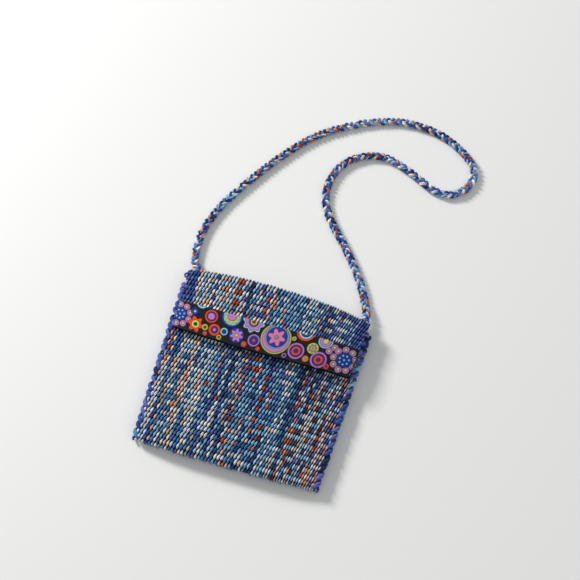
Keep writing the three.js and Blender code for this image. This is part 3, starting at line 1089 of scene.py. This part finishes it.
BIG_PETALS = dict(count=9, away=9.0, radius=3.0, colour=LILAC, dot=1.35, dot_colour=LIME)
FIGURES = [
    figure(3.4, 13.2, (6.2, BLUE), dots=(PALE, 0.95, 3.8), petals=BIG_PETALS),
    figure(15.9, 19.0, (3.3, BLUE), (1.3, PALE), lobes=4, depth=0.07),
    figure(20.5, 28.0, (5.0, PALE), (3.2, TEAL)),
    figure(19.1, 8.0, (6.2, ORANGE), (3.6, LIME), (1.5, DARK_BLUE), lobes=6, depth=0.2),
    figure(27.9, 7.8, (2.8, LIME), (1.4, RED)),
    figure(29.3, 2.6, (2.1, ORANGE), (0.8, TEAL)),
    figure(31.0, 18.6, (5.9, ORANGE), (4.3, BLUE), (3.2, LILAC)),
    figure(36.6, 8.0, (5.3, ORANGE), (3.1, BLUE), (1.5, PINK)),
    figure(42.1, 3.0, (2.3, LIME), (1.1, RED)),
    figure(45.2, 9.0, (3.4, PALE), (2.0, BLUE)),
    figure(48.4, 23.4, (9.2, BLUE), (7.6, PALE)),
    figure(48.4, 23.8, (6.4, LIME), (4.1, LILAC), lobes=9, depth=0.1),
    figure(56.6, 9.0, (6.7, BLUE)),
    figure(56.6, 9.0, (4.9, LILAC), (1.6, LIME), lobes=7, depth=0.22),
    figure(64.9, 3.6, (2.6, ORANGE), (1.1, TEAL)),
    figure(67.6, 24.2, (8.8, PALE), lobes=8, depth=0.12),
    figure(67.6, 24.2, (7.3, LILAC), (4.1, BLUE), (3.0, LIME), (1.5, RED), lobes=8, depth=0.12),
    figure(72.2, 8.9, (5.4, LILAC), (3.9, BLUE), (1.5, ORANGE)),
    figure(77.7, 3.0, (2.0, ORANGE), (0.7, TEAL)),
    figure(90.0, 15.2, (13.2, LIME), (11.9, LILAC)),
    figure(90.4, 16.8, (9.9, PALE), (9.0, BLUE)),
    figure(90.2, 16.6, (6.2, PINK), (1.6, TEAL), lobes=6, depth=0.26),
    figure(101.3, 3.4, (2.2, LILAC), (1.1, BLUE)),
    figure(104.9, 19.4, (2.0, LIME), (0.8, LILAC)),
    figure(109.8, 9.6, (7.1, LILAC), (5.4, BLUE), (4.0, ORANGE), (1.9, BLUE)),
    figure(112.8, 27.4, (8.0, ORANGE), (6.1, PALE), (4.4, BLUE), (2.6, LIME)),
    figure(119.6, 5.2, (3.1, ORANGE), (2.2, LIME), (1.1, LILAC)),
    figure(122.6, 15.4, (4.9, LIME), dots=(LILAC, 0.85, 2.8)),
    figure(130.8, 24.0, (6.2, PALE), (4.8, LILAC), (2.4, LIME)),
    figure(130.4, 7.2, (7.1, LILAC), (5.4, BLUE), (3.9, ORANGE), (1.8, BLUE)),
    figure(138.6, 3.7, (2.4, ORANGE), (1.0, BLUE)),
    figure(136.2, 16.9, (3.0, LILAC), (1.4, LIME)),
    figure(139.6, 21.0, (2.9, LILAC), (1.3, LIME)),
    figure(150.4, 13.2, (6.6, BLUE), dots=(PALE, 0.95, 3.9), petals=BIG_PETALS),
]


# %% [markdown]
# Every figure comes down to raised discs: one for each band, dot and petal. The sizes are in
# millimetres, and a disc's outline may be wavy.

# %% Drawing the figures
EDGE_SOFT = 0.24
LINE_WIDE, LINE_DARK, LINE_DEEP = 0.34, 0.75, 0.16
PETAL_TALL, PETAL_DOT_TALL = 0.3, 0.4
BAND_TALL, BAND_STEP = 0.32, 0.03
DOT_TALL, DOTS_ROUND = 0.42, 7
PETALS_TURN, DOTS_TURN, LOBES_TURN = 0.35, 0.3, 0.6
MOST_TALL = 0.5


def around(middle, away, count, turn):
    """Places evenly spaced on a circle, the first one turned by turn radians."""
    angles = [2 * math.pi * k / count + turn for k in range(count)]
    return [(middle[0] + away * math.cos(a), middle[1] + away * math.sin(a)) for a in angles]


def paint_disc(x, y, middle, radius, paint, colour, height, tall):
    """A raised disc of one thread, with a dark line sunk round it. radius may vary."""
    edge = radius - np.hypot(x - middle[0], y - middle[1])
    inside = np.clip(edge / EDGE_SOFT + 0.5, 0, 1)
    colour += (np.array(linear(paint)[:3]) - colour) * inside[..., None]
    line = np.exp(-(edge / LINE_WIDE) ** 2)
    colour *= (1 - LINE_DARK * line)[..., None]
    height += (tall - height) * inside
    height -= LINE_DEEP * line


def draw_figure(drawn, x, y, colour, height):
    """Paints one figure into the colour and height arrays, where it lies."""
    middle = (drawn["x"], drawn["y"])
    petals = drawn["petals"]
    if petals:
        for spot in around(middle, petals["away"], petals["count"], PETALS_TURN):
            paint_disc(x, y, spot, petals["radius"], petals["colour"], colour, height, PETAL_TALL)
            paint_disc(x, y, spot, petals["dot"], petals["dot_colour"], colour, height,
                       PETAL_DOT_TALL)
    angle = np.arctan2(y - middle[1], x - middle[0])
    wavy = 1 + drawn["depth"] * np.cos(drawn["lobes"] * angle + LOBES_TURN)
    for index, (radius, paint) in enumerate(drawn["bands"]):
        outline = radius * (wavy if index == 0 else 1)
        tall = BAND_TALL + BAND_STEP * index
        paint_disc(x, y, middle, outline, paint, colour, height, tall)
    if drawn["dots"]:
        paint, size, away = drawn["dots"]
        for spot in [middle, *around(middle, away, DOTS_ROUND, DOTS_TURN)]:
            paint_disc(x, y, spot, size, paint, colour, height, DOT_TALL)


def draw_ribbon(x, y):
    """Colour and height of the ribbon's face at places in millimetres from its lower left."""
    colour = np.empty((*x.shape, 3))
    colour[:] = linear(BLACK)[:3]
    height = np.zeros(x.shape)
    for drawn in FIGURES:
        draw_figure(drawn, x, y, colour, height)
    return colour, np.clip(height, 0, MOST_TALL) * MM


# %% [markdown]
# The band itself lies on the flap's yarns. Its ends are turned in, so they are rounded off.
# It follows the flap's slant and sag: a level on the straight flap is moved by the same share
# as the flap's own edge.

# %% Places on the flap
RIBBON_LOW, RIBBON_HIGH = float(ribbon_low[1]), float(ribbon_high[1])
RIBBON_OFF = 2.0 * MM
RIBBON_THICK = 0.7 * MM
END_INSET = 1.2 * MM
FACE_STEP = 0.27 * MM


def on_flap(x, y, off):
    """A point off above the flap, and the outward direction there. y is the level that it has
    before the flap slants and sags."""
    x, y = np.broadcast_arrays(x, y)
    across = x / flap_half_width(y)
    start = hinge.y - TURN_RADIUS - BOW * across ** 2 - SKEW * across
    share = np.minimum((start - y) / (start - FLAP_END_Y), 1)
    middle, out = cloth_at(FLAP_AT + share * FLAP_RUN, across)
    return middle + out * off, out


def ribbon_band():
    """Levels and places along of the band's face, its points on the flap, and outwards."""
    rows = int(round((RIBBON_HIGH - RIBBON_LOW) / FACE_STEP)) + 1
    levels = np.linspace(RIBBON_LOW, RIBBON_HIGH, rows)
    reach = flap_half_width(levels) - END_INSET
    columns = int(round(2 * reach.mean() / FACE_STEP))
    share = np.linspace(-1, 1, columns)
    base, out = on_flap(share[None, :] * reach[:, None], levels[:, None], RIBBON_OFF)
    return levels, share * reach.mean(), base, out


# %% [markdown]
# The band is a tube again, but a flat one: each ring goes over the face and back under it,
# and the rings follow one another along the ribbon. Colour is kept at the points.

# %% Ribbon band
BACK_POINTS = 4
EDGE_ROUND, END_ROUND = 30, 180


def tube_faces(columns, ring):
    """Corners and starts of the faces of a tube of columns rings, with its two caps."""
    i, j = np.meshgrid(np.arange(columns - 1), np.arange(ring), indexing="ij")
    k = (j + 1) % ring
    near, far = i * ring, (i + 1) * ring
    quads = np.stack([near + j, far + j, far + k, near + k], -1)
    caps = np.concatenate([np.arange(ring), (columns - 1) * ring + np.arange(ring)[::-1]])
    corners = np.concatenate([quads.reshape(-1), caps])
    starts = np.concatenate([4 * np.arange(quads.size // 4), quads.size + np.array([0, ring])])
    return corners, starts


def make_ribbon():
    levels, along, base, out = ribbon_band()
    rows, columns = base.shape[:2]
    x, y = np.meshgrid((along - along[0]) / MM, (levels - RIBBON_LOW) / MM)
    colour, height = draw_ribbon(x, y)
    off_middle = np.linspace(-1, 1, rows)[:, None]
    off_end = np.linspace(-1, 1, columns)[None, :]
    rounding = np.sqrt((1 - off_middle ** EDGE_ROUND) * (1 - off_end ** END_ROUND))
    top = base + out * ((RIBBON_THICK + height) * rounding)[..., None]
    few = np.linspace(0, rows - 1, BACK_POINTS + 2).astype(int)[::-1][1:-1]
    loop = np.concatenate([top, base[few]], axis=0)
    ring = len(loop)
    points = loop.transpose(1, 0, 2).reshape(-1, 3)
    corners, starts = tube_faces(columns, ring)
    piece = mesh_object("patterned_ribbon", points, corners, starts)
    paint = np.empty((ring, columns, 4))
    paint[:] = linear(BLACK)
    paint[:rows, :, :3] = colour
    layer = piece.data.attributes.new("dye", "FLOAT_COLOR", "POINT")
    layer.data.foreach_set("color", paint.transpose(1, 0, 2).astype(np.float32).ravel())
    where = np.zeros((ring, columns, 2))
    where[:rows, :, 0], where[:rows, :, 1] = x, y
    where[rows:, :, 0] = x[0]
    where[rows:, :, 1] = y[few, :1]
    flat = where.transpose(1, 0, 2).reshape(-1, 2)[corners]
    cover = piece.data.uv_layers.new(name="cover")
    cover.data.foreach_set("uv", flat.astype(np.float32).ravel())
    print("ribbon", rows, "by", columns, "points,", len(starts), "faces")
    return piece


# %% [markdown]
# The thread of the ribbon is smoother than wool. Fine ribs across and along it show that it is
# woven too, and a bump is enough for their relief, since they are far below a tenth of a
# millimetre. Their shade and highlight are painted into the colour as well.

# %% Ribbon thread
RIBS_ACROSS, RIBS_ALONG = 14.0, 18.0
RIB_SHADE = 0.1
RIB_RELIEF = 0.06 * MM


def ribbon_material():
    """Dyed thread with fine ribs across the ribbon, as in satin stitch, with painted shade and
    highlight on the ribs.
    """
    material = bpy.data.materials.new("jacquard_thread")
    material.use_nodes = True
    tree = material.node_tree
    shader = tree.nodes["Principled BSDF"]
    dye = add_node(tree, "ShaderNodeAttribute", attribute_name="dye")
    place = add_node(tree, "ShaderNodeUVMap", uv_map="cover")
    split = add_node(tree, "ShaderNodeSeparateXYZ", {"Vector": place.outputs["UV"]})
    across = math_node(tree, "MULTIPLY", split.outputs["X"], RIBS_ACROSS)
    along = math_node(tree, "MULTIPLY", split.outputs["Y"], RIBS_ALONG)
    weave = math_node(tree, "MULTIPLY", math_node(tree, "SINE", across),
                      math_node(tree, "SINE", along))
    # painted shade and highlight: the ribs darken and lighten the thread's colour by up to
    # RIB_SHADE
    value = math_node(tree, "MULTIPLY_ADD", weave, RIB_SHADE, 1.0)
    tinted = add_node(tree, "ShaderNodeHueSaturation", {
        "Color": dye.outputs["Color"], "Value": value})
    bump = add_node(tree, "ShaderNodeBump", {"Height": weave})
    bump.inputs["Distance"].default_value = RIB_RELIEF
    tree.links.new(tinted.outputs["Color"], shader.inputs["Base Color"])
    tree.links.new(bump.outputs["Normal"], shader.inputs["Normal"])
    shader.inputs["Roughness"].default_value = 0.6
    shader.inputs["Specular IOR Level"].default_value = 0.15
    return material


ribbon = make_ribbon()
ribbon.data.materials.append(ribbon_material())

# %% [markdown]
# ## Sewing thread
# The ribbon is sewn on by small stitches along both of its edges.

# %% Ribbon stitches
SEW_PITCH = 2.9 * MM
SEW_LONG = 2.1 * MM
SEW_THIN = 0.22 * MM
SEW_INSET = 1.0 * MM
SEW_ARCH, SEW_SUNK = 0.16 * MM, 0.05 * MM
SEW_RINGS = 7


def stitch_row(y):
    """Short arched stitches along one level of the ribbon."""
    reach = float(flap_half_width(y)) - END_INSET - SEW_INSET
    arch = np.sin(np.linspace(0, np.pi, SEW_RINGS))
    stitches = []
    for at in np.arange(-reach, reach - SEW_LONG, SEW_PITCH):
        along = np.linspace(at, at + SEW_LONG, SEW_RINGS)
        place, out = on_flap(along, y, RIBBON_OFF + RIBBON_THICK)
        place = place + out * (SEW_ARCH * arch - SEW_SUNK)[:, None]
        stitches.append(yarn(place, out, SEW_THIN, SEW_THIN, 0.0))
    return stitches


stitches_lower = yarn_piece("ribbon_sewing_lower", stitch_row(RIBBON_LOW + SEW_INSET), sides=6)
stitches_upper = yarn_piece("ribbon_sewing_upper", stitch_row(RIBBON_HIGH - SEW_INSET), sides=6)
THREAD = plain_material("sewing_thread", (30, 30, 44), 0.5)
for piece in (stitches_lower, stitches_upper):
    piece.data.materials.append(THREAD)

# %% [markdown]
# ## Table and light
# A pale table, one large soft light from the upper left, a weaker one from the right, and a
# pale sky that keeps the shadows light.

# %% Table and lights
TABLE_SIZE = 6
SKY_COLOUR = (0.94, 0.97, 1, 1)
SKY_STRENGTH = 0.42


def make_table():
    bpy.ops.mesh.primitive_plane_add(size=TABLE_SIZE, location=(0, 0, 0))
    table = bpy.context.object
    table.name = "table"
    table.data.materials.append(plain_material("table_paper", (236, 235, 232), 0.6))
    return table


def area_light(name, place, aim, size, power):
    """A square light of size metres and power watts, turned from place towards aim."""
    light = bpy.data.lights.new(name, "AREA")
    light.size = size
    light.energy = power
    lamp = bpy.data.objects.new(name, light)
    lamp.location = place
    lamp.rotation_mode = "QUATERNION"
    lamp.rotation_quaternion = (Vector(aim) - Vector(place)).to_track_quat("-Z", "Y")
    bpy.context.scene.collection.objects.link(lamp)
    return lamp


def make_light():
    area_light("window", (-2.1, 1.1, 1.25), aim=(0.05, 0.1, 0), size=0.6, power=78)
    area_light("fill", (1.4, -0.9, 1.6), aim=(0, 0.1, 0), size=1.6, power=6.0)
    world = bpy.data.worlds.new("sky")
    world.use_nodes = True
    background = world.node_tree.nodes["Background"]
    background.inputs["Color"].default_value = SKY_COLOUR
    background.inputs["Strength"].default_value = SKY_STRENGTH
    bpy.context.scene.world = world


table = make_table()
make_light()
bpy.context.scene.view_settings.view_transform = "Standard"

# %% [markdown]
# ## Bodies, and what each piece stands for
# The pouch's pieces ride its body, the strap, sewn to both top corners, with them, and the
# ribbon, its stitches and the flap's hem ride the flap's. The flap turns about the top fold,
# but the flap's cloth and yarns, which reach round the fold, are only baked in place. Each
# piece hides the imported nodes that it stands for.

# %% Bodies and the nodes that each piece stands for
POUCH_PIECES = {
    pouch_cloth: ("weave", ["back_panel", "front_panel", "bottom_fold"]),
    front_warp: ("weave", []),
    back_warp: ("weave", []),
    pouch_weft: ("weave", []),
    mouth_hem: ("seam", []),
    side_seam_left: ("seam", ["side_seam_left"]),
    side_seam_right: ("seam", ["side_seam_right"]),
    strap: ("strap", ["strap"]),
    strap_end_left: ("strap", ["strap_end_left"]),
    strap_end_right: ("strap", ["strap_end_right"]),
    tack_left: ("thread", ["strap_tack_left"]),
    tack_right: ("thread", ["strap_tack_right"]),
}
FLAP_PIECES = {
    ribbon: ("ribbon", ["ribbon_trim"]),
    stitches_lower: ("thread", ["ribbon_stitch_lower"]),
    stitches_upper: ("thread", ["ribbon_stitch_upper"]),
    flap_hem: ("seam", []),
}
BENT_PIECES = {
    flap_cloth: ("weave", ["flap_panel", "top_fold"]),
    flap_warp: ("weave", []),
    flap_weft: ("weave", []),
    flap_selvedge: ("seam", ["flap_selvedge_left", "flap_selvedge_right"]),
}


def settle(pieces, place):
    """Puts each piece on its body by place, and hides the imported nodes that it stands for."""
    for piece, (slot_name, nodes) in pieces.items():
        place(piece)
        if nodes:
            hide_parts(*nodes)


settle(POUCH_PIECES, lambda piece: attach(piece, "pouch"))
settle(FLAP_PIECES, lambda piece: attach(piece, "flap"))
settle(BENT_PIECES, lambda piece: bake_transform(piece))
